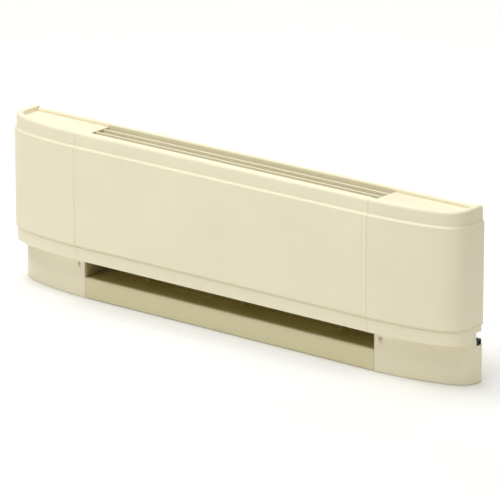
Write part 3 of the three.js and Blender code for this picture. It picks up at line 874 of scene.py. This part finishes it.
def make_fin_bank(node, centre, tube_radius, pitch=3.6, thickness=0.35):
    """Thin pressed fins with turned edges on spaced collars."""
    low, high = box_mm(node)
    count = round((high[0] - low[0] - thickness) / pitch)
    step = (high[0] - low[0] - thickness) / count
    bore = tube_radius + 0.15
    half_d, half_z = (high[1:] - low[1:]) / 2
    turns = [2 * math.pi * (i + 0.5) / FIN_SIDES for i in range(FIN_SIDES)]

    def outline(x):
        """A fin's edge: a rectangle with rounded corners."""
        ring = []
        for turn in turns:
            c, s = math.cos(turn), math.sin(turn)
            reach = 1 / (abs(c / half_d) ** 14 + abs(s / half_z) ** 14) ** (1 / 14)
            ring.append((x, centre[1] + c * reach, centre[2] + s * reach))
        return ring

    def circle(x, radius):
        return [(x, centre[1] + radius * math.cos(t), centre[2] + radius * math.sin(t)) for t in turns]

    collar, root = bore + 0.9, bore + 1.6
    rings = []
    for i in range(count + 1):
        near = low[0] + i * step
        far = near + thickness
        rings += [circle(near, collar), circle(near, root), outline(near)]
        rings += [outline(far), circle(far, root), circle(far, collar)]
    rings += [circle(high[0], bore), circle(low[0], bore)]
    verts = [place(*p) for ring in rings for p in ring]
    bank = mesh_object(node + "_fins", verts, ring_faces(len(rings), FIN_SIDES, closed=True))
    finish_piece(bank, node)


# ---- Fasteners, wires and fittings ----

def screw_head(name, centre_x, centre_z, front, back, radius, tip=None, shank=None):
    """A pan head with a cross recess, facing the front."""
    dome = (back - front) * 0.45
    profile = [(0.001, front)]
    for i in range(1, 9):
        turn = math.pi / 2 * i / 8
        profile.append((radius * math.sin(turn), front + dome * (1 - math.cos(turn))))
    profile.append((radius, back))
    if tip is not None:
        profile += [(shank, back), (shank, tip - shank), (0.4, tip)]
    else:
        profile.append((0.001, back))
    head = turned(name, 1, profile, (centre_x, 0, centre_z))
    arm = radius * 0.62
    width = radius * 0.17
    deep = front + (back - front) * 0.6
    cross = [
        box_mesh("arm", (centre_x - half_x, front - 1, centre_z - half_z),
                 (centre_x + half_x, deep, centre_z + half_z))
        for half_x, half_z in ((arm, width), (width, arm))
    ]
    return cut_with(head, *cross)


def make_screws():
    low, high = box_mm("right_cap_screw")
    x, z = (low[0] + high[0]) / 2, (low[2] + high[2]) / 2
    radius = (high[0] - low[0]) / 2
    right = screw_head("right_cap_screw_head", x, z, low[1], low[1] + 1.1, radius, high[1], 1.6)
    left = mirrored(right, "left_cap_screw_head")
    finish_piece(right, "right_cap_screw")
    finish_piece(left, "left_cap_screw")
    for side in ("left", "center", "right"):
        node = f"{side}_bracket_screw"
        low, high = box_mm(node)
        x, z = (low[0] + high[0]) / 2, (low[2] + high[2]) / 2
        piece = screw_head(node + "_head", x, z, low[1], low[1] + 1.8, (high[0] - low[0]) / 2, high[1], 1.5)
        finish_piece(piece, node)
    for node in ("ground_screw", "cable_clamp_screw"):
        low, high = box_mm(node)
        x, z = (low[0] + high[0]) / 2, (low[2] + high[2]) / 2
        piece = screw_head(node + "_head", x, z, low[1], high[1], (high[0] - low[0]) / 2)
        finish_piece(piece, node)


def make_terminals():
    low, high = box_mm("right_terminal_insulator")
    axis = (0, (low[1] + high[1]) / 2, (low[2] + high[2]) / 2)
    start, end = low[0], high[0]
    insulator = [(0.001, start), (6.6, start), (7, start + 0.4), (7, start + 2.4), (6.4, start + 2.9)]
    for ridge in range(3):
        at = start + 3.4 + ridge * 2
        insulator += [(4.9, at), (5.3, at + 0.6), (4.9, at + 1.2)]
    insulator += [(4.4, end - 0.3), (4.1, end), (0.001, end)]
    bush_low, bush_high = box_mm("right_element_bushing")
    bore, barrel, flange = 4.9, 6.7, 9.4
    step = bush_high[0] - 2.4
    bushing = [
        (bore, bush_low[0]), (barrel - 0.4, bush_low[0]), (barrel, bush_low[0] + 0.4),
        (barrel, step), (flange - 0.5, step), (flange, step + 0.5), (flange, bush_high[0] - 0.6),
        (flange - 0.6, bush_high[0]), (bore + 0.5, bush_high[0]), (bore, bush_high[0] - 0.5),
        (bore, bush_low[0]),
    ]
    stud_low, stud_high = box_mm("right_terminal_stud")
    stud = [(0.001, stud_low[0]), (2.1, stud_low[0])]
    nut = stud_low[0] + 3.7
    stud += [(2.1, nut), (4.1, nut + 0.2), (4.1, nut + 2.8), (2.1, nut + 3)]
    thread = np.arange(nut + 3.2, stud_high[0] - 0.6, 0.5)
    for i, at in enumerate(thread):
        stud.append((2.1 if i % 2 else 1.75, float(at)))
    stud += [(1.4, stud_high[0]), (0.001, stud_high[0])]
    for part, profile in (
        ("terminal_insulator", insulator), ("element_bushing", bushing), ("terminal_stud", stud),
    ):
        right = turned(f"right_{part}_turned", 0, profile, axis)
        left = mirrored(right, f"left_{part}_turned")
        finish_piece(right, f"right_{part}")
        finish_piece(left, f"left_{part}")


TUBE_Y, TUBE_Z = 42, 122
RACEWAY = (69.3, 178)
WIRE_RADIUS = 1.45
LEADS = {
    "return_lead": [
        (-275.6, TUBE_Y, TUBE_Z), (-283, 42, 122.5), (-292, 50, 140), (-288, 62, 166),
        (-270, *RACEWAY), (-240, *RACEWAY), (0, *RACEWAY), (240, *RACEWAY), (270, *RACEWAY),
        (296, 62, 170), (306, 54, 150), (306, 54, 132.3),
    ],
    "element_lead": [
        (275.6, TUBE_Y, TUBE_Z), (282, 42, 123), (287, 42, 132), (280, 42, 142), (266, 42, 146),
        (259, 42, 151), (258, 42, 157.4),
    ],
    "limit_lead": [
        (257, 48, 197.6), (258, 48, 204), (270, 46, 212), (300, 42, 206), (322, 38, 176),
        (326, 36, 150), (326, 36, 132.3),
    ],
    "ground_lead": [
        (341, 67.4, 104), (344, 64, 116), (346, 58, 134), (345, 54, 150), (342, 52, 160),
        (341, 52, 170),
    ],
}


def make_wires():
    for node, points in LEADS.items():
        dense = catmull_rom(points)
        finish_piece(tube(node + "_insulation", dense, WIRE_RADIUS), node)
    low, high = box_mm("limit_capillary")
    centre = (low + high) / 2
    straight = [(x, centre[1], centre[2]) for x in np.linspace(low[0], high[0], 12)]
    finish_piece(tube("limit_capillary_tube", straight, (high[2] - low[2]) / 2 - 0.02), "limit_capillary")


def catmull_rom(points, per_span=8):
    """A centripetal curve through the points."""
    p = np.array([(2 * np.array(points[0]) - points[1]), *points, (2 * np.array(points[-1]) - points[-2])])
    dense = []
    for i in range(1, len(p) - 2):
        p0, p1, p2, p3 = p[i - 1: i + 3]
        t = [0]
        for a, b in ((p0, p1), (p1, p2), (p2, p3)):
            t.append(t[-1] + np.linalg.norm(b - a) ** 0.5)
        for s in np.linspace(t[1], t[2], per_span, endpoint=False):
            a1 = (t[1] - s) / (t[1] - t[0]) * p0 + (s - t[0]) / (t[1] - t[0]) * p1
            a2 = (t[2] - s) / (t[2] - t[1]) * p1 + (s - t[1]) / (t[2] - t[1]) * p2
            a3 = (t[3] - s) / (t[3] - t[2]) * p2 + (s - t[2]) / (t[3] - t[2]) * p3
            b1 = (t[2] - s) / (t[2] - t[0]) * a1 + (s - t[0]) / (t[2] - t[0]) * a2
            b2 = (t[3] - s) / (t[3] - t[1]) * a2 + (s - t[1]) / (t[3] - t[1]) * a3
            dense.append((t[2] - s) / (t[2] - t[1]) * b1 + (s - t[1]) / (t[2] - t[1]) * b2)
    dense.append(p[-2])
    return [tuple(q) for q in dense]


def make_connectors():
    """Ribbed twist-on connectors, wide end up."""
    for node in ("neutral_connector", "line_connector"):
        low, high = box_mm(node)
        centre = (low + high) / 2
        radius = (high[0] - low[0]) / 2
        height = high[2] - low[2]
        sides = 72
        levels = [(0.001, 0), (2.6, 0), (3.3, 0.5), (3.8, 2.2), (4.7, 6), (5.2, 10), (5.5, 16), (5.5, 16.4),
                  (radius, 17), (radius, height - 0.5), (radius - 0.5, height), (0.001, height)]
        verts = []
        for level_radius, z in levels:
            for i in range(sides):
                turn = 2 * math.pi * i / sides
                ribbed = 0.8 < z < 16.2
                rib = 0.28 * math.cos(turn * 12) if ribbed else 0
                r = max(level_radius + rib, 0.001)
                x, depth = centre[0] + r * math.cos(turn), centre[1] + r * math.sin(turn)
                verts.append(place(x, depth, low[2] + z))
        piece = mesh_object(node + "_cap", verts, ring_faces(len(levels), sides))
        finish_piece(piece, node)


REFINED = [
    "left_support_bracket", "center_support_bracket", "right_support_bracket",
    "left_bulkhead", "right_bulkhead", "heat_reflector", "panel_stiffener",
    "left_cap_support", "right_cap_support", "high_limit_switch", "supply_cable_clamp",
    "left_panel_clip", "right_panel_clip",
    "left_capillary_clip", "center_capillary_clip", "right_capillary_clip",
]


# ---- Studio: camera, lights and floor ----

def make_studio():
    camera_data = bpy.data.cameras.new("camera")
    camera_data.lens = 362.87
    camera_data.sensor_width = 36
    camera_data.clip_end = 50
    camera = bpy.data.objects.new("camera", camera_data)
    camera.location = (3.9824, -4.9662, 2.1268)
    camera.rotation_euler = (math.radians(90 - 17.563), 0, math.radians(38.539))
    bpy.context.collection.objects.link(camera)
    bpy.context.scene.camera = camera

    def area(name, location, target, size, power):
        light = bpy.data.lights.new(name, "AREA")
        light.shape = "RECTANGLE"
        light.size, light.size_y = size
        light.energy = power
        obj = bpy.data.objects.new(name, light)
        obj.location = location
        aim = Vector(target) - Vector(location)
        obj.rotation_euler = aim.to_track_quat("-Z", "Y").to_euler()
        bpy.context.collection.objects.link(obj)

    area("top_light", (-0.4, -0.6, 2.6), (0, 0, 0.1), (3.0, 2.2), 69)
    area("back_light", (-1.2, 2.6, 2.2), (-1.2, 2.2, 0), (4.5, 2.0), 35)
    world = bpy.data.worlds.new("studio")
    world.use_nodes = True
    background = world.node_tree.nodes["Background"]
    background.inputs["Color"].default_value = (1, 0.965, 0.80, 1)
    background.inputs["Strength"].default_value = 0.375
    bpy.context.scene.world = world
    bpy.context.scene.view_settings.view_transform = "Standard"

    floor_nodes = Nodes("pale_floor")
    mottle = floor_nodes.texture("ShaderNodeTexNoise", 3, Detail=2.0)
    shade = floor_nodes.ramp(mottle, "Fac", [(0.3, (0.92, 0.93, 0.96)), (0.7, (0.94, 0.95, 0.98))])
    floor_nodes.link(shade, "Color", floor_nodes.shader, "Base Color")
    floor_nodes.set(Roughness=0.9)
    floor = mesh_object("floor", [(-9, -9, -0.0005), (9, -9, -0.0005), (9, 9, -0.0005), (-9, 9, -0.0005)],
                        [(0, 1, 2, 3)])
    floor.data.materials.append(floor_nodes.material)


make_studio()
make_front_panel()
make_end_caps()
make_back_panel()
make_base_pan()
make_slats()
make_element()
make_screws()
make_terminals()
make_wires()
make_connectors()
for refined_node in REFINED:
    refine(refined_node)
